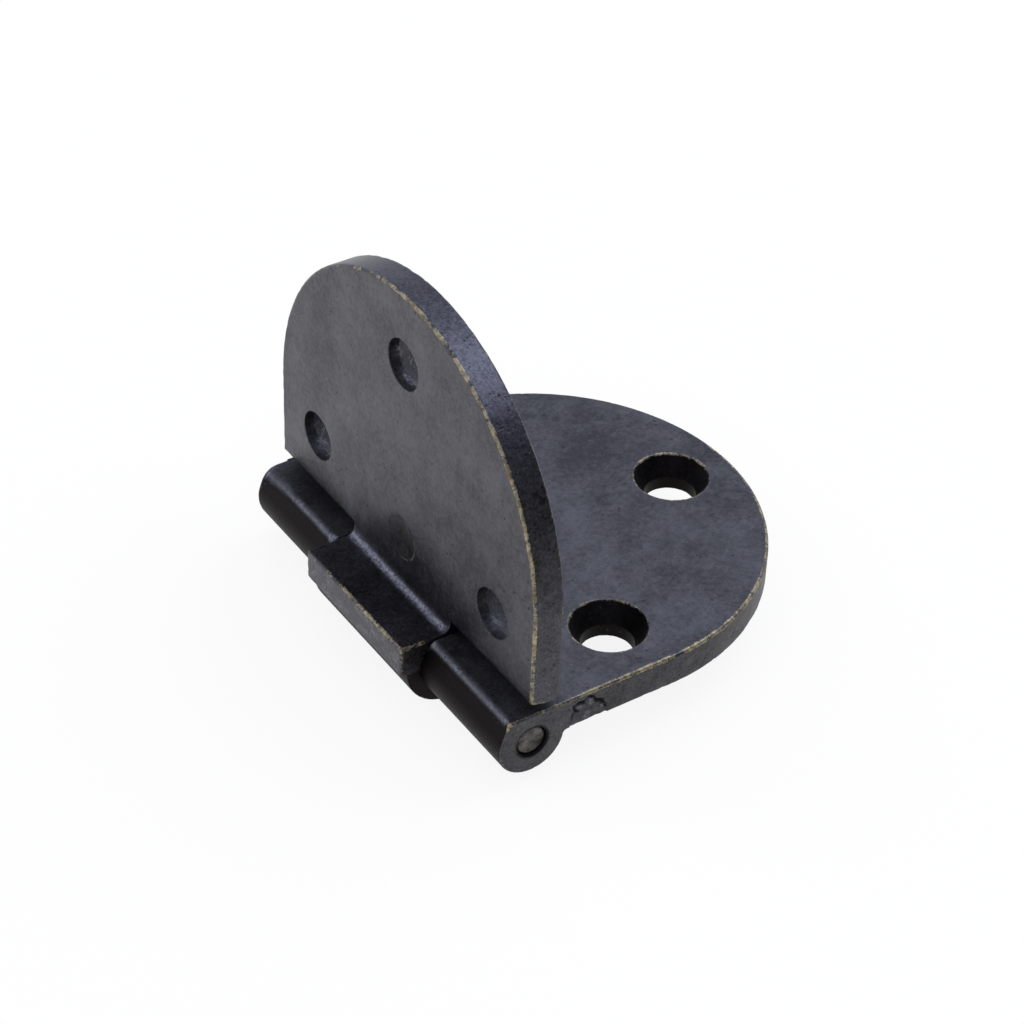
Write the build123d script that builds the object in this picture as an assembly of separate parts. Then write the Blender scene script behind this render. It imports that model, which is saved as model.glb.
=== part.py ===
from build123d import *
import math
import os

# Drop leaf table hinge: two half-round cast leaves that turn on one pin.
# Sizes are in millimetres. X runs out over the fixed leaf, Y along the pin and Z up.
# The origin is on the pin axis, halfway along the hinge.
# The fixed leaf lies flat and the moving leaf stands square to it.

# Leaves
hinge_width = 45.0            # both leaves, measured along the pin
seat_offset = 0.35            # wood side of each leaf, this far behind the pin axis
fixed_reach = 38.2            # pin axis to the tip of the fixed leaf
fixed_thickness = 3.6
moving_reach = 36.3           # pin axis to the tip of the moving leaf
moving_thickness = 3.25
edge_round = 0.3              # cast and worn edges all round

# Outer knuckles, cast on the fixed leaf
knuckle_radius = 3.6
nose_reach = 2.6              # how far the flat top runs past the pin axis
nose_round = 0.35
end_bevel = 0.25              # filed edge round each end of the hinge

# Middle knuckle and its block, cast on the moving leaf
middle_length = 17.5          # along the pin
middle_radius = 4.95
block_stand = 0.75            # face of the block, past the barrel
block_height = 3.35           # above the pin axis
block_hollow = 1.0            # radius of the hollow corner between block and leaf
heel_rise = 0.5               # lower edge of the moving leaf slopes up to its wood side by this much
heel_flat = 1.3               # from the pin axis to where that slope starts
heel_round = 0.8              # inner corner of the lower edge

# Clearances
end_gap = 0.1                 # middle knuckle to outer knuckles, each side
swing_gap = 0.06              # lower edge of the moving leaf past the outer knuckles
notch_gap = 0.4               # middle knuckle to the edge of the fixed leaf
turning_gap = 0.08            # pin to the bore of the middle knuckle
seating_gap = 0.02            # pin to the bores of the outer knuckles

# Pin
pin_diameter = 3.15
pin_recess = 0.2              # pin ends lie this far inside the leaf sides
pin_bevel = 0.2               # filed edge of each pin end
mouth_flare = 0.25            # widening of the bore round each pin end

# Screw holes, countersunk on the side away from the wood
hole_diameter = 5.2
sink_diameter = 7.6
sink_depth = 2.1
hole_spacing = 31.3           # between the two holes beside the pin
fixed_hole_row = 13.05        # pin axis to the pair
moving_hole_row = 10.6
fixed_tip_inset = 6.6         # tip of the leaf to the third hole
moving_tip_inset = 7.5

# Worked out from the sizes above
half_width = hinge_width / 2
fixed_top = fixed_thickness - seat_offset
moving_face = moving_thickness - seat_offset
nose_distance = math.hypot(nose_reach, fixed_top)
heel_swing = max(knuckle_radius, nose_distance) + swing_gap
heel = math.sqrt(heel_swing ** 2 - heel_flat ** 2)
middle_half = middle_length / 2
notch_half = middle_half + end_gap
block_reach = middle_radius + block_stand
notch_reach = middle_radius + notch_gap
pin_length = hinge_width - 2 * pin_recess

# Leaves are drawn lying down; this stands one up on the pin axis, wood side towards -X
standing = Plane(origin=(0, 0, 0), x_dir=(0, 0, 1), z_dir=(1, 0, 0))


def upright_rectangle(low, high):
    # rectangle between two corners of a section
    centre = Pos((low[0] + high[0]) / 2, (low[1] + high[1]) / 2)
    return centre * Rectangle(high[0] - low[0], high[1] - low[1])


def along_pin(section, low, high):
    # a section drawn in X and Z, run along the pin
    return Pos(0, high, 0) * extrude(Plane.XZ * section, high - low)


def leaf_plate(start, reach, thickness):
    # half-round plate: straight sides from start, then a semicircle out to reach
    bend = reach - half_width
    sides = Polyline((bend, half_width), (start, half_width), (start, -half_width), (bend, -half_width))
    outline = make_face(sides + ThreePointArc((bend, -half_width), (reach, 0), (bend, half_width)))
    return Pos(0, 0, -seat_offset) * extrude(outline, thickness)


def rim_edges(plate, pin_side):
    # the edges round both faces of a leaf, without those on its pin side
    face_edges = plate.edges().filter_by(Axis.Z, reverse=True)
    return face_edges.filter_by(lambda edge: edge.center().X > pin_side + edge_round)


def drill_leaf(leaf, row, tip, rim_height, thickness):
    # bores and countersinks of the pair beside the pin and the one near the tip
    bore = Cylinder(hole_diameter / 2, 3 * thickness)
    sink_align = (Align.CENTER, Align.CENTER, Align.MAX)
    sink = Cone(hole_diameter / 2, sink_diameter / 2, sink_depth, align=sink_align)
    for x, y in ((row, -hole_spacing / 2), (row, hole_spacing / 2), (tip, 0)):
        leaf -= Pos(x, y, rim_height) * (bore + sink)
    return leaf


def outer_knuckle_section():
    # barrel with a flat top that runs on to a nose, its flank tangent to the barrel
    corner_angle = math.atan2(fixed_top, -nose_reach)
    touch_angle = corner_angle + math.acos(knuckle_radius / nose_distance)
    touch = (knuckle_radius * math.cos(touch_angle), knuckle_radius * math.sin(touch_angle))
    nose = make_face(Polyline((0, 0), (0, fixed_top), (-nose_reach, fixed_top), touch, close=True))
    root = upright_rectangle((0, -seat_offset), (notch_reach, fixed_top))
    over_top = upright_rectangle((-knuckle_radius, fixed_top), (knuckle_radius, 2 * knuckle_radius))
    section = Circle(knuckle_radius) - over_top + nose + root
    tip = section.vertices().sort_by_distance((-nose_reach, fixed_top, 0))[0]
    return fillet(tip, nose_round)


def middle_knuckle_section():
    # barrel cut flush with the leaf, the block on its wood side and the neck up to the leaf
    neck_top = heel + heel_rise + heel_round
    neck = upright_rectangle((-seat_offset, 0), (moving_face, neck_top))
    block = upright_rectangle((-block_reach, 0), (0, block_height))
    over_block = upright_rectangle((-middle_radius, block_height), (-seat_offset, 2 * middle_radius))
    past_face = upright_rectangle((moving_face, -2 * middle_radius), (2 * middle_radius, 2 * middle_radius))
    section = Circle(middle_radius) - over_block + block + neck - past_face
    hollow = section.vertices().sort_by_distance((-seat_offset, block_height, 0))[0]
    section = fillet(hollow, block_hollow)
    face_corners = section.vertices().sort_by(Axis.X)[:2]
    return fillet(face_corners, edge_round)


def make_fixed_leaf():
    plate = leaf_plate(notch_reach, fixed_reach, fixed_thickness)
    plate = fillet(rim_edges(plate, notch_reach), edge_round)
    plate = drill_leaf(plate, fixed_hole_row, fixed_reach - fixed_tip_inset, fixed_top, fixed_thickness)
    knuckle = along_pin(outer_knuckle_section(), notch_half, half_width)
    end_face = knuckle.faces().sort_by(Axis.Y)[-1]
    end_rim = end_face.edges() - end_face.edges().sort_by(Axis.X)[-1:]
    knuckle = chamfer(end_rim, end_bevel)
    bore_radius = pin_diameter / 2 + seating_gap
    knuckle -= along_pin(Circle(bore_radius), notch_half, half_width)
    end_arcs = knuckle.edges().filter_by(GeomType.CIRCLE).filter_by_position(Axis.Y, half_width, half_width)
    knuckle = chamfer(end_arcs.sort_by(lambda arc: abs(arc.radius - bore_radius))[0], mouth_flare)
    return plate + [knuckle, mirror(knuckle, Plane.XZ)]


def make_moving_leaf():
    plate = leaf_plate(heel, moving_reach, moving_thickness)
    slope = Polyline((heel, -seat_offset), (heel + heel_rise, -seat_offset), (heel, heel_flat), close=True)
    plate -= Pos(0, half_width, 0) * extrude(Plane.XZ * make_face(slope), hinge_width)
    inner_corner = plate.edges().filter_by(Axis.Y).sort_by(Axis.Z)[-1]
    plate = fillet(inner_corner, heel_round)
    wood_corner = plate.edges().filter_by(Axis.Y).sort_by(Axis.Z)[0]
    plate = fillet(rim_edges(plate, heel + heel_rise) + [wood_corner], edge_round)
    plate = drill_leaf(plate, moving_hole_row, moving_reach - moving_tip_inset, moving_face, moving_thickness)
    knuckle = along_pin(middle_knuckle_section(), -middle_half, middle_half)
    ends = knuckle.edges().filter_by_position(Axis.Y, -middle_half, -middle_half)
    ends += knuckle.edges().filter_by_position(Axis.Y, middle_half, middle_half)
    block_ends = ends.filter_by(lambda edge: edge.center().X < -seat_offset and edge.center().Z >= 0)
    knuckle = fillet(block_ends, edge_round)
    leaf = standing * plate + knuckle
    bore_radius = pin_diameter / 2 + turning_gap
    return leaf - along_pin(Circle(bore_radius), -half_width, half_width)


def make_pin():
    pin = Rotation(90, 0, 0) * Cylinder(pin_diameter / 2, pin_length)
    return chamfer(pin.edges().filter_by(GeomType.CIRCLE), pin_bevel)


nodes = {
    "fixed_leaf": make_fixed_leaf(),
    "moving_leaf": make_moving_leaf(),
    "hinge_pin": make_pin(),
}

os.makedirs("parts", exist_ok=True)
for name, solid in nodes.items():
    export_step(solid, f"parts/{name}.step")
    print(name, len(solid.solids()), round(solid.volume, 1), solid.bounding_box())
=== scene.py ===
import math
import bpy
import numpy as np
from mathutils import Matrix, Vector


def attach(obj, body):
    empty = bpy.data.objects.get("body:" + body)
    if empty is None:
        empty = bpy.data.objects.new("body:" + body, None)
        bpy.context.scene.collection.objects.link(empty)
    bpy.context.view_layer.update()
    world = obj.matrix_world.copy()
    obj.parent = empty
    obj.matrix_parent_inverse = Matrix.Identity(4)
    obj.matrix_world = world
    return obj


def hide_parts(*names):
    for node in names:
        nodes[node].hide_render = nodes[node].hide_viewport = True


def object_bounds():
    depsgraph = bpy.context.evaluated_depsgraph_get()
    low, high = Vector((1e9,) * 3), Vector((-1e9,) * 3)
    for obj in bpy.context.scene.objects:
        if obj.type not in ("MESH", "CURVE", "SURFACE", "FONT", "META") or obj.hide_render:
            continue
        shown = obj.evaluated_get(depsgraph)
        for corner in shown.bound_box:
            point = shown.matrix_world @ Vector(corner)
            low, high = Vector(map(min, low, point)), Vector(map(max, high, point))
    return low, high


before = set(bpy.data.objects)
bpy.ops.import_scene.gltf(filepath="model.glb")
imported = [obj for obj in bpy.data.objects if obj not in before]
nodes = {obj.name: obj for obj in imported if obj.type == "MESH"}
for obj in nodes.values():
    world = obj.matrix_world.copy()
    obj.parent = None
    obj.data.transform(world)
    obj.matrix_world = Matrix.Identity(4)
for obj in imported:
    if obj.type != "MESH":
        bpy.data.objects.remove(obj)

# Blender's own starting objects, where the session has them
for leftover in ("Cube", "Light", "Camera"):
    if leftover in bpy.data.objects:
        bpy.data.objects.remove(bpy.data.objects[leftover])
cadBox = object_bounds()
scene = bpy.context.scene
mm = 0.001        # shapes below are worked out in millimetres, as the hinge is drawn

view = {
    "azimuth": -34.675,      # degrees, from straight along the pin
    "elevation": 38.446,
    "roll": 2.212,
    "lens": 104.65,          # mm
    "sensor": 36,            # mm
    "away": 287.64,          # mm from the pin axis, along the line of sight
    "across": 10.464,        # mm the camera stands to the right of that line
    "above": 9.102,
    "nearest": 10,           # mm, anything closer isn't drawn
}


def placeCamera(view):
    a, e, roll = (math.radians(view[key]) for key in ("azimuth", "elevation", "roll"))
    back = Vector((math.sin(a) * math.cos(e), -math.cos(a) * math.cos(e), math.sin(e)))
    level = Vector((math.cos(a), math.sin(a), 0))
    upright = back.cross(level)
    right = level * math.cos(roll) + upright * math.sin(roll)
    up = upright * math.cos(roll) - level * math.sin(roll)
    place = (right * view["across"] + up * view["above"] + back * view["away"]) * mm
    data = bpy.data.cameras.new("studioCamera")
    data.lens = view["lens"]
    data.sensor_width = view["sensor"]
    data.clip_start = view["nearest"] * mm
    camera = bpy.data.objects.new("studioCamera", data)
    turn = Matrix((right, up, back)).transposed().to_4x4()
    camera.matrix_world = Matrix.Translation(place) @ turn
    scene.collection.objects.link(camera)
    scene.camera = camera


placeCamera(view)
print("camera placed")


# Shapes are distances in millimetres, negative inside the metal.

def roundBoth(a, b, r):
    # where both solids are, with the edge between them rounded
    return np.minimum(-r, np.maximum(a, b)) + np.hypot(np.maximum(a + r, 0), np.maximum(b + r, 0))


def roundEither(a, b, r):
    # where either solid is, with the hollow corner between them filled
    return np.maximum(r, np.minimum(a, b)) - np.hypot(np.maximum(r - a, 0), np.maximum(r - b, 0))


def smoothStep(low, high, value):
    t = np.clip((value - low) / (high - low), 0, 1)
    return t * t * (3 - 2 * t)


def halfRoundOutline(out, along, leaf):
    # straight sides, then a semicircle to the tip
    bend = leaf["reach"] - leaf["halfWidth"]
    return np.where(out > bend, np.hypot(out - bend, along), np.abs(along)) - leaf["halfWidth"]


def drilled(out, along, height, face, holes):
    # the three screw holes, opening to a cone towards the face
    slope = (holes["sinkRadius"] - holes["radius"]) / holes["sinkDepth"]
    coneRadius = holes["radius"] + (height - face + holes["sinkDepth"]) * slope
    spread = holes["spacing"] / 2
    nearest = np.full(out.shape, 1e3)
    for u, v in ((holes["row"], -spread), (holes["row"], spread), (holes["tip"], 0)):
        reach = np.hypot(out - u, along - v)
        cone = (reach - coneRadius) / math.hypot(1, slope)
        nearest = np.minimum(nearest, np.minimum(reach - holes["radius"], cone))
    return nearest


def slowWaves(seed, count, shortest, longest):
    # smooth unevenness of a sand casting: sines in scattered directions, their lengths in mm
    rng = np.random.default_rng(seed)
    direction = rng.normal(size=(count, 3))
    direction /= np.linalg.norm(direction, axis=1)[:, None]
    turns = 2 * math.pi / rng.uniform(shortest, longest, count)
    phase = rng.uniform(0, 2 * math.pi, count)
    return direction * turns[:, None], phase


def waveHeight(p, waves):
    # between about -1 and 1
    return np.sin(p @ waves[0].T + waves[1]).mean(axis=1) * 2.2


castWaves = slowWaves(11, 30, 3.5, 9.0)
castGrain = slowWaves(12, 40, 0.9, 1.9)
chipWaves = slowWaves(13, 40, 0.5, 1.7)


def slopeAt(p, distance, step=0.02):
    slope = np.empty_like(p)
    for axis in range(3):
        shift = np.zeros(3)
        shift[axis] = step
        slope[:, axis] = distance(p + shift) - distance(p - shift)
    length = np.linalg.norm(slope, axis=1)[:, None]
    return slope / np.maximum(length, 1e-9)


def settle(p, distance, rounds, longest=0.25):
    # walk each point on to the surface
    for _ in range(rounds):
        p = p - np.clip(distance(p), -longest, longest)[:, None] * slopeAt(p, distance)
    return p


def edgesOf(faces, count):
    # each edge once, and the three edges of every face
    pairs = np.concatenate([faces[:, [0, 1]], faces[:, [1, 2]], faces[:, [2, 0]]])
    pairs = np.sort(pairs, axis=1)
    keys, where = np.unique(pairs[:, 0] * count + pairs[:, 1], return_inverse=True)
    return np.stack([keys // count, keys % count], axis=1), where.reshape(3, -1).T


def neighbourMean(values, edges, count):
    # mean of each point's neighbours
    ends = np.concatenate([edges, edges[:, ::-1]])
    share = np.maximum(np.bincount(ends[:, 0], minlength=count), 1)
    means = [np.bincount(ends[:, 0], weights=column[ends[:, 1]], minlength=count) / share
             for column in values.T]
    return np.stack(means, axis=1)


def relax(p, faces, distance, amount=0.5):
    # even out the spacing along the surface
    edges, _ = edgesOf(faces, len(p))
    move = neighbourMean(p, edges, len(p)) - p
    normal = slopeAt(p, distance)
    move -= (move * normal).sum(axis=1)[:, None] * normal
    return p + amount * move


def splitEdges(p, faces, longest):
    # halve every edge longer than allowed there, and divide its faces to match
    edges, sides = edgesOf(faces, len(p))
    length = np.linalg.norm(p[edges[:, 0]] - p[edges[:, 1]], axis=1)
    tooLong = length > longest[edges].min(axis=1)
    middle = np.full(len(edges), -1)
    middle[tooLong] = len(p) + np.arange(tooLong.sum())
    p = np.concatenate([p, p[edges[tooLong]].mean(axis=1)])
    mids = middle[sides]
    cut = (mids >= 0).sum(axis=1)
    parts = [faces[cut == 0]]
    a, b, c = faces[cut == 3].T
    ab, bc, ca = mids[cut == 3].T
    parts += [np.stack(t, axis=1) for t in ((a, ab, ca), (ab, b, bc), (ca, bc, c), (ab, bc, ca))]
    for turn in range(3):
        order = [(turn + i) % 3 for i in range(3)]
        face, mid = faces[:, order], mids[:, order]
        one = (cut == 1) & (mid[:, 0] >= 0)
        a, b, c = face[one].T
        ab = mid[one, 0]
        parts += [np.stack(t, axis=1) for t in ((a, ab, c), (ab, b, c))]
        two = (cut == 2) & (mid[:, 2] < 0)
        a, b, c = face[two].T
        ab, bc = mid[two, 0], mid[two, 1]
        parts += [np.stack(t, axis=1) for t in ((ab, b, bc), (a, ab, bc), (a, bc, c))]
    return p, np.concatenate(parts)


def voxelSkin(node, size):
    # an even skin over the CAD solid, in millimetres
    mesh = node.data.copy()
    mesh.transform(Matrix.Scale(1 / mm, 4))
    skin = bpy.data.objects.new("skin", mesh)
    scene.collection.objects.link(skin)
    remesh = skin.modifiers.new("even", "REMESH")
    remesh.mode = "VOXEL"
    remesh.voxel_size = size
    evaluated = skin.evaluated_get(bpy.context.evaluated_depsgraph_get())
    shaped = bpy.data.meshes.new_from_object(evaluated)
    p = np.empty(len(shaped.vertices) * 3)
    shaped.vertices.foreach_get("co", p)
    corners = np.empty(len(shaped.loops), dtype=np.int64)
    shaped.loops.foreach_get("vertex_index", corners)
    bpy.data.meshes.remove(shaped)
    bpy.data.objects.remove(skin)
    bpy.data.meshes.remove(mesh)
    return p.reshape(-1, 3), corners.reshape(-1, 4)


def trianglesOf(p, quads):
    # each quad is cut along its shorter diagonal
    a, b, c, d = quads.T
    straight = np.linalg.norm(p[a] - p[c], axis=1) <= np.linalg.norm(p[b] - p[d], axis=1)
    straight = straight[:, None]
    first = np.where(straight, np.stack([a, b, c], axis=1), np.stack([a, b, d], axis=1))
    second = np.where(straight, np.stack([a, c, d], axis=1), np.stack([b, c, d], axis=1))
    return np.concatenate([first, second])


def meshNormals(p, faces):
    a, b, c = (p[faces[:, i]] for i in range(3))
    area = np.cross(b - a, c - a)
    total = np.stack([sum(np.bincount(faces[:, i], weights=area[:, axis], minlength=len(p))
                          for i in range(3)) for axis in range(3)], axis=1)
    return total / np.maximum(np.linalg.norm(total, axis=1), 1e-12)[:, None]


def bending(p, faces, normal):
    # 1 / radius of the surface at each point: above 0 on an outer edge, below 0 in a hollow
    edges, _ = edgesOf(faces, len(p))
    a, b = edges.T
    step = p[b] - p[a]
    turn = ((normal[b] - normal[a]) * step).sum(axis=1) / np.maximum((step ** 2).sum(axis=1), 1e-9)
    both = np.concatenate([a, b])
    total = np.bincount(both, weights=np.concatenate([turn, turn]), minlength=len(p))
    bend = total / np.maximum(np.bincount(both, minlength=len(p)), 1) * 2
    for _ in range(2):
        bend = 0.5 * bend + 0.5 * neighbourMean(bend[:, None], edges, len(p))[:, 0]
    return bend


def nearEdges(p, normal, distance, depth=0.45):
    # above 0 where the surface turns within reach of this depth
    inside = distance(p - normal * depth) / depth + 1
    outside = distance(p + normal * depth) / depth - 1
    return np.maximum(inside, -outside)


def castDepth(p, leaf, edge):
    # how far the cast and handled surface lies below the drawn one, less beside the moving faces
    free = smoothStep(5.5, 8.0, np.hypot(p[:, 0], p[:, 2]))
    swell = 0.5 + 0.5 * waveHeight(p, castWaves)
    grain = 0.5 + 0.5 * waveHeight(p, castGrain)
    chips = smoothStep(0.0, 0.9, waveHeight(p, chipWaves)) * edge
    uneven = (leaf["waveDepth"] * swell + leaf["grainDepth"] * grain) * (0.25 + 0.75 * free)
    return uneven + leaf["chipDepth"] * chips


def castPiece(name, node, leaf, distance, depthOf, masksOf, finestAt=None):
    # even skin, settled on the drawn shape, finer along its edges and then cast, chipped and masked
    p, quads = voxelSkin(node, leaf["voxel"])
    p = settle(p, distance, 3)
    faces = trianglesOf(p, quads)
    for _ in range(3):
        p = settle(relax(p, faces, distance), distance, 1)
    for fine in (leaf["fineEdge"] * 1.6, leaf["fineEdge"]):
        normal = slopeAt(p, distance)
        longest = np.where(nearEdges(p, normal, distance) > 0.05, fine, leaf["coarseEdge"])
        if finestAt:
            longest = np.where(finestAt(p), np.minimum(longest, leaf["fineEdge"] * 0.7), longest)
        p, faces = splitEdges(p, faces, longest)
        p = settle(p, distance, 1)
        p = settle(relax(p, faces, distance), distance, 2)
    normal = slopeAt(p, distance)
    bend = bending(p, faces, normal)
    edge = smoothStep(0.7, 2.2, bend)
    masks = masksOf(p, normal, bend, edge)
    smoothNormal = meshNormals(p, faces)
    moved = p - normal * (castDepth(p, leaf, edge) + depthOf(p, edge))[:, None]
    normal = normal + meshNormals(moved, faces) - smoothNormal
    normal /= np.linalg.norm(normal, axis=1)[:, None]
    mesh = bpy.data.meshes.new(name)
    mesh.from_pydata((moved * mm).tolist(), [], faces.tolist())
    mesh.shade_smooth()
    mesh.normals_split_custom_set_from_vertices(normal.tolist())
    for key, values in masks.items():
        layer = mesh.attributes.new(key, "FLOAT", "POINT")
        layer.data.foreach_set("value", np.clip(values, 0, 1).astype(np.float32))
    piece = bpy.data.objects.new(name, mesh)
    scene.collection.objects.link(piece)
    print(name, len(mesh.vertices), "points,", len(mesh.polygons), "triangles")
    return piece


def linear(hexColour):
    # sRGB hex to the linear colour that the sockets take
    parts = [int(hexColour[i:i + 2], 16) / 255 for i in (1, 3, 5)]
    return tuple(c / 12.92 if c <= 0.04045 else ((c + 0.055) / 1.055) ** 2.4 for c in parts) + (1.0,)


def addNode(tree, kind, inputs=None, **settings):
    # an input is a value, a socket, or a node whose first output in use is taken
    node = tree.nodes.new("ShaderNode" + kind)
    for key, value in settings.items():
        setattr(node, key, value)
    for key, value in (inputs or {}).items():
        if isinstance(value, bpy.types.Node):
            value = next(output for output in value.outputs if output.enabled)
        if isinstance(value, bpy.types.NodeSocket):
            tree.links.new(value, node.inputs[key])
        else:
            node.inputs[key].default_value = value
    return node


def emptyTree(block):
    block.use_nodes = True
    block.node_tree.nodes.clear()
    return block.node_tree


# Cast bronze, bronzed brown-grey and worn by handling: a soft dull sheen, near black patina on the
# knuckle flanks, painted shade near black in the holes, corners and faces turned from the light, a paler
# grey that is partly worn by hands and partly painted highlight, and pale bare metal along the edges.
# Sizes are in mm: the casting sand leaves a grain of about 0.5 mm and pits of 0.2 mm, and the patina
# clouds over 6 mm or so.
bronzeLook = {
    "cloudSize": 6.0, "grainSize": 0.5, "patchSize": 1.3, "fineSize": 0.3,
    # spots: how far apart, how much of the spacing their radius takes, and how strongly they show
    "pitSpacing": 0.8, "pitShare": 0.23, "pitAmount": 0.7,
    "pockSpacing": 0.42, "pockShare": 0.36, "pockAmount": 0.6,
    "speckSpacing": 0.7, "speckShare": 0.2, "speckAmount": 0.35,
    "scratchLength": 6.0, "scratchThinness": 0.06, "scratchAmount": 0.16,
    "scratchTurns": ((0, 0.05, 0.5), (0, 0.05, 2.2)),     # radians, one for each direction
    "patinaDark": "#404044", "patinaLight": "#606064", "speck": "#8c8c8e", "pit": "#1f1e21",
    "patinaAndShadeDark": "#191413", "patinaAndShadePale": "#47474b",
    "polishAndHighlight": "#787a81", "polishAndHighlightAmount": 0.9,
    "bareDull": "#6a614f", "bareBright": "#b0a689", "bareBrown": "#5d4a33", "brownAmount": 0.7,
    "roughLow": 0.32, "roughHigh": 0.42, "darkRougher": 0.2, "bareRougher": 0.15,
    "bump": 0.6, "bumpHeight": 0.06,
    "rings": [],
    # where each layer starts and is whole, in the noise and masks that are added up for it
    "paleRange": {"From Min": 0.4, "From Max": 0.6},
    "brownRange": {"From Min": 0.54, "From Max": 0.64},
    "scratchRange": {"From Min": 0.65, "From Max": 0.74},
    "darkRange": {"From Min": 0.62, "From Max": 1.22},
    "polishAndHighlightRange": {"From Min": 0.9, "From Max": 1.1},
    "pittedRange": {"From Min": 0.38, "From Max": 0.62},
    "bareRange": {"From Min": 2.72, "From Max": 3.05},
}
maskNames = ("worn", "dark", "polishAndHighlight", "coarse")


def castBronze(name, look):
    material = bpy.data.materials.new(name)
    tree = emptyTree(material)
    place = addNode(tree, "TexCoord").outputs["Object"]
    shifted = addNode(tree, "Mapping", {"Vector": place, "Location": (0.3, 0.1, 0.2)})
    # scratches are noise drawn out along two slanting directions
    thin = (1, look["scratchThinness"], look["scratchThinness"])
    slant = [addNode(tree, "Mapping", {"Vector": place, "Rotation": turn, "Scale": thin},
                     vector_type="TEXTURE") for turn in look["scratchTurns"]]
    mask = {key: addNode(tree, "Attribute", attribute_name=key).outputs["Fac"] for key in maskNames}
    noise = {}      # a scale of 1 / (size * mm) repeats about once in that size
    for key, size, detail, roughness, source in (
            ("cloud", look["cloudSize"], 7.0, 0.65, place),
            ("grain", look["grainSize"], 8.0, 0.75, place),
            ("patch", look["patchSize"], 4.0, 0.6, place),
            ("fine", look["fineSize"], 5.0, 0.7, place),
            ("scratch", look["scratchLength"], 3.0, 0.6, slant[0]),
            ("crossing", look["scratchLength"], 3.0, 0.6, slant[1])):
        noise[key] = addNode(tree, "TexNoise", {
            "Vector": source, "Scale": 1 / (size * mm), "Detail": detail, "Roughness": roughness})
    # round spots in some of the cells of a random pattern: pits from the sand, finer pocks, and pale
    # specks that are painted glints
    spots = {}
    for key, source, among, low, high in (
            ("pit", place, noise["patch"], 0.48, 0.6), ("pock", shifted, noise["patch"], 0.4, 0.6),
            ("speck", shifted, noise["cloud"], 0.5, 0.62)):
        share = look[key + "Share"]
        cell = addNode(tree, "TexVoronoi", {
            "Vector": source, "Scale": 1 / (look[key + "Spacing"] * mm)})
        spot = addNode(tree, "MapRange", {
            "Value": cell, "From Min": share, "From Max": share * 0.4})
        some = addNode(tree, "MapRange", {
            "Value": among, "From Min": low, "From Max": high, "To Max": look[key + "Amount"]})
        spots[key] = addNode(tree, "Math", {0: spot, 1: some}, operation="MULTIPLY")
    coarse = addNode(tree, "MapRange", {"Value": mask["coarse"], "To Min": 0.3})
    pocks = addNode(tree, "Math", {0: spots["pock"], 1: coarse}, operation="MULTIPLY")
    hollows = addNode(tree, "Math", {0: spots["pit"], 1: pocks}, operation="MAXIMUM")
    speckle = addNode(tree, "Math", {0: spots["speck"], 1: coarse}, operation="MULTIPLY")
    # patina: clouds and grain, with a finer grain where the casting is left rough
    tone = addNode(tree, "Mix", {0: 0.5, 2: noise["cloud"], 3: noise["grain"]})
    finer = addNode(tree, "Math", {0: mask["coarse"], 1: 0.5}, operation="MULTIPLY")
    tone = addNode(tree, "Mix", {0: finer, 2: tone, 3: noise["fine"]})
    paler = addNode(tree, "MapRange", {"Value": tone, **look["paleRange"]})
    scratch = addNode(tree, "Math", {0: noise["scratch"], 1: noise["crossing"]}, operation="MAXIMUM")
    scratch = addNode(tree, "MapRange", {
        "Value": scratch, **look["scratchRange"], "To Max": look["scratchAmount"]})
    smooth = addNode(tree, "Math", {0: 1.0, 1: mask["coarse"]}, operation="SUBTRACT")
    scratch = addNode(tree, "Math", {0: scratch, 1: smooth}, operation="MULTIPLY")
    # the dark layer: patina on the flanks and painted shade in holes, corners and dim faces, with ragged
    # borders and a paler tone near them
    dark = addNode(tree, "Math", {0: noise["grain"], 1: 0.5, 2: mask["dark"]}, operation="MULTIPLY_ADD")
    dark = addNode(tree, "Math", {0: noise["patch"], 1: 0.5, 2: dark}, operation="MULTIPLY_ADD")
    dark = addNode(tree, "MapRange", {"Value": dark, **look["darkRange"]})
    paleBorderShare = addNode(tree, "MapRange", {
        "Value": mask["dark"], "From Min": 0.95, "From Max": 0.8, "To Min": 0.08})
    paleBorderShare = addNode(tree, "Math", {0: paler, 1: paleBorderShare}, operation="MULTIPLY")
    patinaAndShadeTone = addNode(tree, "Mix", {
        0: paleBorderShare, 6: linear(look["patinaAndShadeDark"]), 7: linear(look["patinaAndShadePale"])}, data_type="RGBA")
    # ridges and hollows in a paler grey, in ragged patches: partly worn by hands, partly a painted
    # highlight on the knuckle noses and in the hollow corner
    ragged = addNode(tree, "Math", {
        0: noise["patch"], 1: 1.2, 2: mask["polishAndHighlight"]}, operation="MULTIPLY_ADD")
    ragged = addNode(tree, "MapRange", {
        "Value": ragged, **look["polishAndHighlightRange"], "To Max": look["polishAndHighlightAmount"]})
    pitted = addNode(tree, "MapRange", {"Value": noise["fine"], **look["pittedRange"]})
    polishedAndHighlit = addNode(tree, "Math", {0: ragged, 1: pitted}, operation="MULTIPLY")
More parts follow.
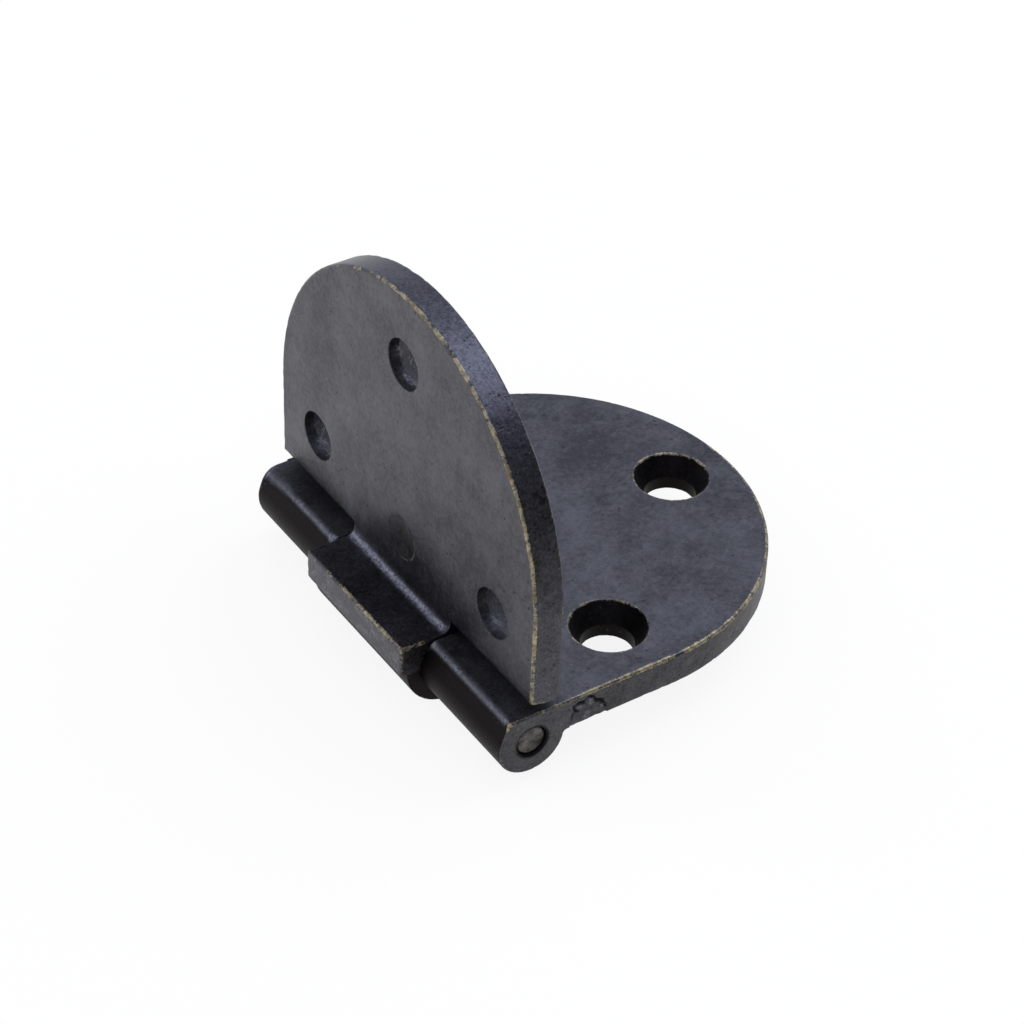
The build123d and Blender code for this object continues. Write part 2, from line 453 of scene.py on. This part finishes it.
    # bare metal along the edges, broken up by two sizes of noise, and tarnished brown in clouds
    worn = addNode(tree, "Math", {0: noise["patch"], 1: 2.0, 2: mask["worn"]}, operation="MULTIPLY_ADD")
    worn = addNode(tree, "Math", {0: noise["fine"], 1: 2.4, 2: worn}, operation="MULTIPLY_ADD")
    worn = addNode(tree, "MapRange", {"Value": worn, **look["bareRange"]})
    onEdge = addNode(tree, "MapRange", {"Value": mask["worn"], "From Min": 0.12, "From Max": 0.5})
    bare = addNode(tree, "Math", {0: worn, 1: onEdge}, operation="MULTIPLY")
    bright = addNode(tree, "MapRange", {"Value": noise["grain"], **look["paleRange"]})
    metal = addNode(tree, "Mix", {
        0: bright, 6: linear(look["bareDull"]), 7: linear(look["bareBright"])}, data_type="RGBA")
    brown = addNode(tree, "MapRange", {
        "Value": noise["cloud"], **look["brownRange"], "To Max": look["brownAmount"]})
    metal = addNode(tree, "Mix", {0: brown, 6: metal, 7: linear(look["bareBrown"])}, data_type="RGBA")
    # layers over the patina: the dark layer also holds painted shade, the paler grey a painted highlight,
    # the specks painted glints
    layers = [
        (paler, linear(look["patinaLight"])), (scratch, linear(look["speck"])), (dark, patinaAndShadeTone),
        (speckle, linear(look["speck"])), (polishedAndHighlit, linear(look["polishAndHighlight"])),
        (hollows, linear(look["pit"])), (bare, metal),
    ]
    for ring in look["rings"]:
        # an old ring mark, only on the face at x = ringFace: distance from its middle, along the face
        onFace = addNode(tree, "SeparateXYZ", {0: place})
        onFace = addNode(tree, "Math", {
            0: onFace, 1: look["ringFace"] * mm, 2: 0.15 * mm}, operation="COMPARE")
        patchy = addNode(tree, "MapRange", {"Value": noise["patch"], **look["paleRange"]})
        patchy = addNode(tree, "Math", {0: patchy, 1: onFace}, operation="MULTIPLY")
        middle = (0, ring["y"] * mm, ring["z"] * mm)
        offset = addNode(tree, "VectorMath", {0: place, 1: middle}, operation="SUBTRACT")
        flat = addNode(tree, "VectorMath", {0: offset, 1: (0, 1, 1)}, operation="MULTIPLY")
        away = addNode(tree, "VectorMath", {0: flat}, operation="LENGTH")
        away = addNode(tree, "Math", {0: away, 1: ring["radius"] * mm}, operation="SUBTRACT")
        away = addNode(tree, "Math", {0: away}, operation="ABSOLUTE")
        width = ring["width"] * mm
        line = addNode(tree, "MapRange", {
            "Value": away, "From Min": width, "From Max": width * 0.3, "To Max": ring["strength"]})
        # only the arc that lies towards one side, past a share of the radius
        toward = (0, *ring["toward"])
        arc = addNode(tree, "VectorMath", {0: offset, 1: toward}, operation="DOT_PRODUCT")
        start = ring["radius"] * ring["from"]
        arc = addNode(tree, "MapRange", {
            "Value": arc, "From Min": (start - 0.3) * mm, "From Max": (start + 0.3) * mm})
        arc = addNode(tree, "Math", {0: arc, 1: line}, operation="MULTIPLY")
        arc = addNode(tree, "Math", {0: arc, 1: patchy}, operation="MULTIPLY")
        layers.append((arc, linear(ring["tone"])))
    colour = linear(look["patinaDark"])
    for share, tint in layers:
        colour = addNode(tree, "Mix", {0: share, 6: colour, 7: tint}, data_type="RGBA")
    # bare spots are duller than the worn patina, and so is the dark layer of patina and painted shade
    rough = addNode(tree, "MapRange", {
        "Value": tone, "From Min": 0.35, "From Max": 0.65,
        "To Min": look["roughLow"], "To Max": look["roughHigh"]})
    for share, amount in ((dark, look["darkRougher"]), (bare, look["bareRougher"])):
        rough = addNode(tree, "Math", {0: share, 1: amount, 2: rough}, operation="MULTIPLY_ADD")
    height = addNode(tree, "Math", {0: hollows, 1: -0.7}, operation="MULTIPLY")
    height = addNode(tree, "Math", {0: noise["grain"], 1: 0.6, 2: height}, operation="MULTIPLY_ADD")
    bump = addNode(tree, "Bump", {
        "Height": height, "Strength": look["bump"], "Distance": look["bumpHeight"] * mm})
    shader = addNode(tree, "BsdfPrincipled", {
        "Base Color": colour, "Roughness": rough, "Metallic": 1.0, "Normal": bump})
    addNode(tree, "OutputMaterial", {"Surface": shader})
    print(name, "made")
    return material


def dress(piece, node, body, material):
    piece.data.materials.append(material)
    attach(piece, body)
    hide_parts(node)


fixedLeaf = {
    # mm: the leaf lies flat, X out from the pin, Y along it and Z up from its axis
    "reach": 38.2, "halfWidth": 22.5, "top": 3.25, "seat": -0.35, "edgeRound": 0.3,
    "notchReach": 5.35, "notchHalf": 8.85, "notchRound": 0.15,
    "knuckleRadius": 3.6, "rootRound": 0.3, "noseReach": 2.6, "noseRound": 0.6, "endRound": 0.25,
    "nearNoseRound": 0.35, "farNoseRound": 1.3, "farEndRound": 0.6,     # far ends are worn rounder
    "boreRadius": 1.595, "boreRound": 0.05, "mouthFlare": 0.15,
    "holes": {"radius": 2.6, "sinkRadius": 3.8, "sinkDepth": 2.1,
              "spacing": 31.3, "row": 13.05, "tip": 31.6},
    "holeRound": 0.1,
    "waveDepth": 0.02,       # the cast surface swells and sinks by this much
    "grainDepth": 0.012, "chipDepth": 0.04, "biteDepth": 0.28,
    "voxel": 0.34, "fineEdge": 0.17, "coarseEdge": 1.0,
    # how bare each edge is, how dark each face is from patina and painted shade, how pale from wear and
    # painted highlight, and how rough it was cast
    "worn": {"farRim": 0.35, "nearRim": 1.0, "hole": 0.62,
             "nearEnd": 0.25, "endTop": 0.4, "farEnd": 0.2},
    # hole, top and side are painted shade: in the holes, on the knuckle tops under the standing leaf, and
    # on the plate's sides
    "dark": {"hole": 0.9, "top": 0.52, "side": 0.42, "end": 0.4, "crack": 0.95},
    # nose is a painted highlight along the knuckle noses
    "polishAndHighlight": {"nose": 0.5, "patch": 0.15, "lump": 0.25},
    "coarse": {"flank": 0.6, "top": 0.6},
    # casting flaw in the near side, in X and Z: rough lumps with cracks round them
    "flawSide": -22.5, "crackDepth": 0.2, "lumpDepth": 0.14,
    "patch": [(4.25, 0.2), (4.75, 1.4), (4.6, 2.1), (5.05, 2.45), (5.7, 2.2), (5.9, 2.55), (6.3, 2.7),
              (6.75, 2.3), (7.15, 1.7), (7.8, 1.4), (8.3, 0.4), (8.4, -0.5), (4.2, -0.5)],
    "cracks": [     # each point with half the crack's width there
        [(4.2, 0.1, 0.05), (4.43, 1.0, 0.11), (4.75, 1.46, 0.13), (4.56, 2.1, 0.14),
         (5.0, 2.45, 0.08), (5.72, 2.2, 0.2)],
        [(5.72, 2.2, 0.2), (5.95, 2.6, 0.07), (6.3, 2.7, 0.05), (6.74, 2.35, 0.1),
         (7.15, 1.75, 0.2), (7.75, 1.45, 0.22)],
        [(7.75, 1.45, 0.15), (8.26, 0.5, 0.04)],
        [(4.75, 1.46, 0.1), (5.26, 1.2, 0.04)],
    ],
    "lumps": [(5.2, 1.85, 0.45), (6.4, 2.05, 0.75), (7.7, 0.95, 0.55), (5.9, 0.7, 0.8)],   # with radii
}


def fixedLeafDistance(p, leaf=fixedLeaf):
    x, y, z = p.T
    side = np.abs(y)
    slab = np.maximum(z - leaf["top"], leaf["seat"] - z)
    plate = roundBoth(halfRoundOutline(x, y, leaf), slab, leaf["edgeRound"])
    notch = np.maximum(x - leaf["notchReach"], side - leaf["notchHalf"])
    plate = roundBoth(np.maximum(plate, -x), -notch, leaf["notchRound"])
    plate = roundBoth(plate, -drilled(x, y, z, leaf["top"], leaf["holes"]), leaf["holeRound"])
    # knuckles: barrel, flat top with its nose, and the root they share with the plate
    radius = leaf["knuckleRadius"]
    barrel = np.maximum(np.hypot(x, z) - radius, z - leaf["top"])
    corner = math.atan2(leaf["top"], -leaf["noseReach"])
    touch = corner + math.acos(radius / math.hypot(leaf["noseReach"], leaf["top"]))
    tx, tz = math.cos(touch), math.sin(touch)
    usual = leaf["noseRound"]
    noseRound = usual + (leaf["farNoseRound"] - usual) * smoothStep(17.5, 21.5, y)
    noseRound = noseRound + (leaf["nearNoseRound"] - usual) * smoothStep(-20.5, -22.3, y)
    nose = roundBoth(z - leaf["top"], x * tx + z * tz - radius, noseRound)
    nose = np.maximum(nose, np.maximum(z * tx - x * tz, x - 0.5))
    root = np.maximum(slab, np.maximum(-0.5 - x, x - leaf["notchReach"] - 1))
    joined = np.where(z < 1, roundEither(barrel, root, leaf["rootRound"]), np.minimum(barrel, root))
    section = np.minimum(joined, nose)
    ends = np.maximum(leaf["notchHalf"] - side, side - leaf["halfWidth"])
    farCorner = smoothStep(20.0, 22.0, y) * smoothStep(3.0, 0.0, x)
    endRound = leaf["endRound"] + (leaf["farEndRound"] - leaf["endRound"]) * farCorner
    knuckle = roundBoth(section, ends, endRound)
    reach = np.hypot(x, z)
    mouth = (leaf["boreRadius"] + side - leaf["halfWidth"] + leaf["mouthFlare"] - reach) * 0.7071
    bore = np.maximum(leaf["boreRadius"] - reach, mouth)
    return roundBoth(np.minimum(plate, knuckle), bore, leaf["boreRound"])


def nearFlaw(p, leaf=fixedLeaf):
    # the flaw and a little round it, where the mesh is made finest
    onSide = np.abs(p[:, 1] - leaf["flawSide"]) < 0.5
    return (np.abs(p[:, 0] - 6.4) < 2.8) & onSide & (p[:, 2] < 3.0)


def flawParts(p, leaf=fixedLeaf):
    # nearness to the cracks, to the patch inside them and to its lumps
    wander = np.stack([waveHeight(p, chipWaves), waveHeight(p + 7.0, chipWaves)], axis=1)
    spot = p[:, [0, 2]] + 0.1 * wander
    nearest = np.full(len(p), 1e3)
    for line in leaf["cracks"]:
        for a, b in zip(np.array(line[:-1]), np.array(line[1:])):
            step = b[:2] - a[:2]
            along = np.clip(((spot - a[:2]) @ step) / (step @ step), 0, 1)
            away = np.linalg.norm(spot - a[:2] - along[:, None] * step, axis=1)
            nearest = np.minimum(nearest, away / (a[2] + (b[2] - a[2]) * along))
    inside = np.zeros(len(p), dtype=bool)
    for a, b in zip(leaf["patch"], leaf["patch"][1:] + leaf["patch"][:1]):
        if a[1] != b[1]:
            crossing = (a[1] > spot[:, 1]) != (b[1] > spot[:, 1])
            at = a[0] + (spot[:, 1] - a[1]) * (b[0] - a[0]) / (b[1] - a[1])
            inside ^= crossing & (spot[:, 0] < at)
    lump = np.zeros(len(p))
    for x, z, radius in leaf["lumps"]:
        away = np.hypot(spot[:, 0] - x, spot[:, 1] - z) / radius
        lump = np.maximum(lump, smoothStep(1.0, 0.25, away))
    onSide = smoothStep(0.6, 0.3, np.abs(p[:, 1] - leaf["flawSide"]))
    uneven = np.maximum(1.1 + 0.8 * waveHeight(p + 2.0, castGrain), 0.1)
    crack = smoothStep(1.7, 0.4, nearest / uneven)
    return crack * onSide, inside * onSide, lump * inside * onSide


def fixedLeafDepth(p, edge, leaf=fixedLeaf):
    x, y, z = p.T
    crack, patch, lump = flawParts(p)
    rough = 0.7 + 0.3 * waveHeight(p * 1.3, castGrain)
    # bites out of the lower rim, on the outer sides only
    rim = edge * smoothStep(0.6, -0.2, z) * smoothStep(7.5, 9.0, x) * (halfRoundOutline(x, y, leaf) > -1)
    bite = rim * smoothStep(0.15, 0.8, waveHeight(p * 1.5, castWaves))
    bite = bite * smoothStep(-0.5, 0.5, waveHeight(p, castGrain))
    flaw = crack * leaf["crackDepth"] + (patch - lump) * rough * leaf["lumpDepth"]
    return flaw + leaf["biteDepth"] * bite


def fixedLeafMasks(p, normal, bend, edge, leaf=fixedLeaf):
    x, y, z = p.T
    nx, ny, nz = normal.T
    worn, dark, polishAndHighlight, coarse = (leaf[key] for key in maskNames)
    crack, patch, lump = flawParts(p)
    hole = drilled(x, y, z, leaf["top"], leaf["holes"])
    # upper rim, barest at the near side, the rims of the holes, and the ends of the knuckles
    topEdge = smoothStep(0.45, 1.4, bend) * smoothStep(2.2, 2.9, z) * (x > 2.5)
    front = smoothStep(9, -4, y)
    rim = topEdge * (worn["farRim"] + (worn["nearRim"] - worn["farRim"]) * front)
    rim = rim * (0.85 + 0.25 * waveHeight(p * 1.5, castWaves))
    holeEdge = topEdge * (hole < 0.6)
    rim = np.where(holeEdge > 0, worn["hole"] * holeEdge, rim)
    endEdge = edge * smoothStep(21.8, 22.3, np.abs(y)) * (x <= 2.5) * (np.hypot(x, z) > 2.6)
    nearEnd = worn["nearEnd"] + worn["endTop"] * smoothStep(2.0, 2.8, z)
    endEdge = endEdge * np.where(y < 0, nearEnd, worn["farEnd"])
    # faces, told apart by where they look: the flanks keep dark patina, while the holes, bore, knuckle
    # tops and plate sides get painted shade and the nose band a painted highlight
    flank = smoothStep(1.2, 0.0, x) * smoothStep(0.8, 0.5, nz) * smoothStep(0.7, 0.4, np.abs(ny))
    inHole = smoothStep(0.3, 0.02, hole) * smoothStep(0.97, 0.85, np.abs(nz))
    straightWall = smoothStep(0.6, 0.3, np.abs(nz))
    inHole = inHole * (dark["hole"] + (1 - dark["hole"]) * straightWall)
    inBore = smoothStep(2.2, 1.7, np.hypot(x, z)) * (np.abs(y) > 22.2)
    top = smoothStep(0.7, 0.95, nz) * smoothStep(4.2, 3.2, x)
    side = smoothStep(0.6, 0.2, np.abs(nz)) * smoothStep(3.0, 5.5, x)
    endFace = smoothStep(0.7, 0.95, np.abs(ny)) * (np.abs(y) > 22)
    # pale band along the knuckle noses, a painted highlight, which also lifts the dark layer there
    nose = smoothStep(0.5, 1.1, bend) * smoothStep(2.0, 2.8, z) * smoothStep(-1.0, -2.0, x)
    nose = nose * (np.abs(y) < 22)
    shade = np.maximum.reduce([
        flank, inHole, inBore, dark["top"] * top, dark["side"] * side * (1 - lump),
        dark["end"] * endFace, dark["crack"] * crack])
    flawRub = (polishAndHighlight["patch"] * patch + polishAndHighlight["lump"] * lump) * (1 - crack)
    return {
        "worn": np.maximum(rim, endEdge),
        "dark": shade * (1 - 0.6 * nose),
        "polishAndHighlight": np.maximum(polishAndHighlight["nose"] * nose, flawRub),
        "coarse": np.maximum.reduce([side, nose, endFace, coarse["flank"] * flank, coarse["top"] * top]),
    }


fixedPiece = castPiece("fixedLeafCast", nodes["fixed_leaf"], fixedLeaf,
                       fixedLeafDistance, fixedLeafDepth, fixedLeafMasks, nearFlaw)
bronze = castBronze("castBronzePatinaAndShade", bronzeLook)
dress(fixedPiece, "fixed_leaf", "fixed_leaf", bronze)


movingLeaf = {
    # mm: the leaf stands up, Z out from the pin, Y along it, with its wood side towards -X
    "reach": 36.3, "halfWidth": 22.5, "face": 2.9, "seat": -0.35, "edgeRound": 0.3,
    "heel": 4.017, "heelRise": 0.5, "heelFlat": 1.3, "heelRound": 0.8,
    "middleHalf": 8.75, "middleRadius": 4.95,
    "blockReach": 5.7, "blockHeight": 3.35, "blockHollow": 1.0,
    "endRound": 0.1, "boreRadius": 1.655, "boreRound": 0.05,
    "holes": dict(fixedLeaf["holes"], radius=2.52, row=10.6, tip=28.8),
    "holeRound": 0.05,
    "waveDepth": 0.02, "grainDepth": 0.012, "chipDepth": 0.04, "dentDepth": 0.03,
    "voxel": 0.34, "fineEdge": 0.17, "coarseEdge": 1.0,
    "worn": {"rim": 0.9, "screwSide": 0.45, "farRim": 0.55,
             "block": 0.75, "farBlock": 0.35, "blockEnd": 0.49},
    # wall, cone, blockTop, blockEnd and side are painted shade: in the holes, on the block's top and ends
    # between the knuckles, and on the rim's sides
    "dark": {"wall": 0.75, "cone": 0.55, "blockTop": 0.74, "blockEnd": 0.8, "side": 0.6,
             "aboveBlock": 0.45, "ring": 0.66, "besideBlock": 0.62},
    # hollow is partly a painted highlight
    "polishAndHighlight": {"hollow": 0.56, "cone": 0.28, "blockFace": 0.33},
    "coarse": {"blockTop": 0.7, "barrel": 0.3},
}


def movingLeafDistance(p, leaf=movingLeaf):
    x, y, z = p.T
    slopeX, slopeZ = leaf["heelFlat"] - leaf["seat"], leaf["heelRise"]
    slope = -(x - leaf["heelFlat"]) * slopeZ - (z - leaf["heel"]) * slopeX
    lower = np.maximum(leaf["heel"] - z, slope / math.hypot(slopeX, slopeZ))
    section = roundBoth(x - leaf["face"], lower, leaf["heelRound"])
    section = roundBoth(section, leaf["seat"] - x, leaf["edgeRound"])
    plate = roundBoth(halfRoundOutline(z, y, leaf), section, leaf["edgeRound"])
    plate = roundBoth(plate, -drilled(z, y, x, leaf["face"], leaf["holes"]), leaf["holeRound"])
    # middle knuckle: barrel cut flush with the leaf, block on its wood side, neck up to the leaf
    cut = np.maximum(x - leaf["face"], z - leaf["blockHeight"])
    barrel = np.maximum(np.hypot(x, z) - leaf["middleRadius"], cut)
    blockTop = np.maximum(z - leaf["blockHeight"], -z)
    block = np.maximum(roundBoth(-leaf["blockReach"] - x, blockTop, leaf["edgeRound"]), x)
    neck = np.maximum(np.maximum(leaf["seat"] - x, x - leaf["face"]), np.maximum(-z, z - 6))
    low = np.minimum(barrel, block)
    middle = np.where(x < 1, roundEither(low, neck, leaf["blockHollow"]), np.minimum(low, neck))
    onBlock = smoothStep(0.0, 1.0, -x) * smoothStep(-0.5, 0.5, z)
    endRound = leaf["endRound"] + (leaf["edgeRound"] - leaf["endRound"]) * onBlock
    middle = roundBoth(middle, np.abs(y) - leaf["middleHalf"], endRound)
    bore = leaf["boreRadius"] - np.hypot(x, z)
    return roundBoth(np.minimum(plate, middle), bore, leaf["boreRound"])


def movingLeafDepth(p, edge, leaf=movingLeaf):
    # small dents along the edges
    return leaf["dentDepth"] * edge * smoothStep(-0.3, 0.8, waveHeight(p + 3.0, castGrain))


def movingLeafMasks(p, normal, bend, edge, leaf=movingLeaf):
    x, y, z = p.T
    nx, ny, nz = normal.T
    worn, dark, polishAndHighlight, coarse = (leaf[key] for key in maskNames)
    outline = halfRoundOutline(z, y, leaf)
    # rim, barest on the wood side and at the near half, and the edges of the block
    rim = edge * smoothStep(-1.2, -0.6, outline) * (z > 4.2)
    woodSide = smoothStep(1.6, 0.6, x)
    rim = rim * (worn["screwSide"] + (1 - worn["screwSide"]) * woodSide)
    rim = rim * np.where(y < 4, 1.0, worn["farRim"])
    block = edge * (x < -3) * smoothStep(2.6, 3.0, z)
    block = block * (worn["farBlock"] + (1 - worn["farBlock"]) * smoothStep(11, -3, y))
    blockEnd = edge * (x < -3) * (z > 0.2) * (y < -8)
    # faces, told apart by where they look: darker below the pin axis, painted shade in the holes, on the
    # block's top and ends and on the rim's sides
    low = smoothStep(0.5, -0.2, z) * smoothStep(2.8, 1.5, x)
    inHole = smoothStep(0.3, 0.02, drilled(z, y, x, leaf["face"], leaf["holes"]))
    cone = inHole * smoothStep(0.2, 0.5, x) * smoothStep(0.97, 0.85, np.abs(nx))
    wall = inHole * smoothStep(0.5, 0.2, x) * smoothStep(0.9, 0.6, np.abs(nx))
    blockTop = smoothStep(0.7, 0.95, nz) * (x < 0) * (z < 4)
    blockEndFace = smoothStep(0.6, 0.9, np.abs(ny)) * (x < 0) * (z < 3.4)
    blockFace = smoothStep(0.8, 0.95, -nx) * (x < -3) * smoothStep(0.0, 0.5, z)
    # painted shade standing in for a dark reflection on the rim's sides: whole from z 19 to 25 mm, half
    # below 13.8 mm, gone above 31 mm
    rimShade = smoothStep(0.5, 0.2, np.abs(nx)) * smoothStep(-0.6, -0.2, outline)
    rimShade = rimShade * smoothStep(31, 25, z) * (0.5 + 0.5 * smoothStep(13.8, 19, z))
    # darker on the wood side low over the middle knuckle and round the ring mark
    woodSideDarker = smoothStep(13, 6, z) * smoothStep(12, 6, np.abs(y + 0.5)) * dark["aboveBlock"]
    woodSideDarker = np.maximum(woodSideDarker, dark["ring"] * smoothStep(3.8, 1.0, np.hypot(y, z - 8.6)))
    beside = smoothStep(6.8, 5.4, z) * smoothStep(9.5, 8.0, np.abs(y))
    woodSideDarker = np.maximum(woodSideDarker, dark["besideBlock"] * beside)
    woodSideDarker = woodSideDarker * smoothStep(0.5, 0.9, -nx) * (x > -1)
    # the hollow corner is paler, with the strip of the block beside it: partly worn by hands, partly a
    # painted highlight
    hollow = smoothStep(-0.45, -0.8, bend) * (x < 0) * (z > 3) * smoothStep(0.4, 0.6, nz)
    beside = smoothStep(-1.6, -1.3, x) * (x < -0.6) * (nz > 0.8) * (z < 3.6)
    hollow = np.maximum(hollow, 0.5 * beside)
    shade = np.maximum.reduce([
        low, dark["wall"] * wall, dark["cone"] * cone, dark["blockTop"] * blockTop,
        dark["blockEnd"] * blockEndFace, dark["side"] * rimShade, woodSideDarker])
    unmasked = smoothStep(0.6, 0.3, np.abs(nx)) * (outline > -0.6)
    return {
        "worn": np.maximum.reduce([worn["rim"] * rim, worn["block"] * block, worn["blockEnd"] * blockEnd]),
        "dark": shade * (1 - 0.9 * np.minimum(1, 1.4 * hollow)),
        "polishAndHighlight": np.maximum.reduce([
            polishAndHighlight["hollow"] * hollow, polishAndHighlight["cone"] * cone, polishAndHighlight["blockFace"] * blockFace]),
        "coarse": np.maximum.reduce([
            unmasked, cone, hollow, blockEndFace, blockFace,
            coarse["blockTop"] * blockTop, coarse["barrel"] * low]),
    }


# the standing leaf is a shade darker and bluer, with old ring marks beside its block
markedLook = dict(
    bronzeLook, pitAmount=0.85, scratchTurns=((0, 0.7, 1.5), (0, -0.9, 1.65)),
    patinaDark="#37373d", patinaLight="#5b5b62", ringFace=movingLeaf["seat"], rings=[
        {"y": 0.0, "z": 8.75, "radius": 2.2, "width": 0.25, "strength": 0.8, "tone": "#18171b",
         "toward": (1, 0), "from": -2},      # dark, all the way round
        {"y": 0.0, "z": 8.75, "radius": 2.34, "width": 0.16, "strength": 0.55, "tone": "#8f8d8a",
         "toward": (-0.8, -0.6), "from": 0.45},
    ])
movingPiece = castPiece("movingLeafCast", nodes["moving_leaf"], movingLeaf,
                        movingLeafDistance, movingLeafDepth, movingLeafMasks)
markedBronze = castBronze("castBronzeMarked", markedLook)
dress(movingPiece, "moving_leaf", "moving_leaf", markedBronze)


pin = {
    "radius": 1.575, "half": 22.3, "bevel": 0.2,      # mm
    "dome": 0.05,            # the end faces bulge by this much
    "around": 72, "faceRings": 12, "lengthRings": 20,
}


def pinMesh(pin):
    # turned profile from one end face to the other
    flat = pin["radius"] - pin["bevel"]
    out = [flat * i / pin["faceRings"] for i in range(1, pin["faceRings"] + 1)]
    end = [(r, pin["half"] - pin["dome"] * (r / pin["radius"]) ** 2) for r in out]
    end.append((pin["radius"], pin["half"] - pin["bevel"] - pin["dome"]))
    length = [(pin["radius"], pin["half"] * t) for t in np.linspace(0.95, -0.95, pin["lengthRings"])]
    profile = end + length + [(r, -y) for r, y in reversed(end)]
    n = pin["around"]
    points = [(0, pin["half"], 0)]
    for r, y in profile:
        for i in range(n):
            turn = 2 * math.pi * i / n
            points.append((r * math.cos(turn), y, r * math.sin(turn)))
    points.append((0, -pin["half"], 0))
    faces = [(0, 1 + i, 1 + (i + 1) % n) for i in range(n)]
    for row in range(len(profile) - 1):
        start = 1 + row * n
        for i in range(n):
            j = (i + 1) % n
            faces.append((start + i, start + n + i, start + n + j, start + j))
    last = len(points) - 1
    start = last - n
    faces += [(last, start + (i + 1) % n, start + i) for i in range(n)]
    mesh = bpy.data.meshes.new("hingePinTurned")
    mesh.from_pydata((np.array(points) * mm).tolist(), [], faces)
    mesh.shade_smooth()
    piece = bpy.data.objects.new("hingePinTurned", mesh)
    scene.collection.objects.link(piece)
    print("hingePinTurned", len(mesh.vertices), "points")
    return piece


# drawn steel rod, riveted and dulled brown with age: rougher than the bronze, with spots of 1 mm or so
steelLook = dict(
    bronzeLook, patinaDark="#232222", patinaLight="#6b6864", speck="#8f8a82", cloudSize=1.4,
    pitSpacing=1.1, pitAmount=0.9, scratchAmount=0.5, roughLow=0.4, roughHigh=0.55)
pinPiece = pinMesh(pin)
dress(pinPiece, "hinge_pin", "fixed_leaf", castBronze("dulledPinSteel", steelLook))


studio = {
    "floorHalf": 3.0,        # m
    "card": "#e8e8e8", "seenWhite": 0.88, "mirroredWhite": 0.72,
    "room": "#dfe4f6", "roomDark": "#55565c",
    "darkToward": (0.35, -0.9, 0.25), "darkRange": {"From Min": 0.58, "From Max": 0.88},
    "aim": (0, 0, 0.01),
    "lamps": [               # m and W
        {"name": "backSoftbox", "place": (-0.42, 0.52, 0.48), "size": 0.30,
         "power": 0.45, "tint": "#f2f4ff"},
        {"name": "overhead", "place": (0.36, -0.02, 0.70), "size": 0.45,
         "power": 1.8, "tint": "#e4e9ff"},
    ],
}
white = (1, 1, 1, 1)


def paleFloor(low, studio):
    # white card that the camera and the metal see as white, and that still takes the hinge's shadow
    half = studio["floorHalf"]
    mesh = bpy.data.meshes.new("studioFloor")
    corners = [(-half, -half, low), (half, -half, low), (half, half, low), (-half, half, low)]
    mesh.from_pydata(corners, [], [(0, 1, 2, 3)])
    floor = bpy.data.objects.new("studioFloor", mesh)
    scene.collection.objects.link(floor)
    material = bpy.data.materials.new("whiteCard")
    tree = emptyTree(material)
    path = addNode(tree, "LightPath")
    seen = addNode(tree, "Math", {
        0: path.outputs["Is Camera Ray"], 1: studio["seenWhite"]}, operation="MULTIPLY")
    share = addNode(tree, "Math", {
        0: path.outputs["Is Glossy Ray"], 1: studio["mirroredWhite"], 2: seen}, operation="MULTIPLY_ADD")
    card = addNode(tree, "BsdfDiffuse", {"Color": linear(studio["card"])})
    glow = addNode(tree, "Emission", {"Color": white, "Strength": 1.0})
    mixed = addNode(tree, "MixShader", {0: share, 1: card, 2: glow})
    addNode(tree, "OutputMaterial", {"Surface": mixed})
    mesh.materials.append(material)


def paleRoom(studio):
    # pale cool room for reflections, with its dark side in front of the hinge, and white to the eye
    world = bpy.data.worlds.new("studioWorld")
    scene.world = world
    tree = emptyTree(world)
    path = addNode(tree, "LightPath")
    ray = addNode(tree, "TexCoord").outputs["Generated"]
    toward = addNode(tree, "VectorMath", {0: ray, 1: studio["darkToward"]}, operation="DOT_PRODUCT")
    shade = addNode(tree, "MapRange", {
        "Value": toward, **studio["darkRange"]}, interpolation_type="SMOOTHSTEP")
    room = addNode(tree, "Mix", {
        0: shade, 6: linear(studio["room"]), 7: linear(studio["roomDark"])}, data_type="RGBA")
    tint = addNode(tree, "Mix", {0: path.outputs["Is Glossy Ray"], 6: white, 7: room}, data_type="RGBA")
    sky = addNode(tree, "Background", {"Color": tint, "Strength": 1.0})
    addNode(tree, "OutputWorld", {"Surface": sky})


def softLamp(lamp, aim):
    data = bpy.data.lights.new(lamp["name"], "AREA")
    data.color = linear(lamp["tint"])[:3]
    data.size = lamp["size"]
    data.energy = lamp["power"]
    panel = bpy.data.objects.new(lamp["name"], data)
    panel.location = lamp["place"]
    panel.rotation_euler = (Vector(aim) - Vector(lamp["place"])).to_track_quat("-Z", "Y").to_euler()
    scene.collection.objects.link(panel)


paleFloor(cadBox[0][2], studio)
paleRoom(studio)
for lamp in studio["lamps"]:
    softLamp(lamp, studio["aim"])
scene.view_settings.view_transform = "Standard"
print("studio lit")
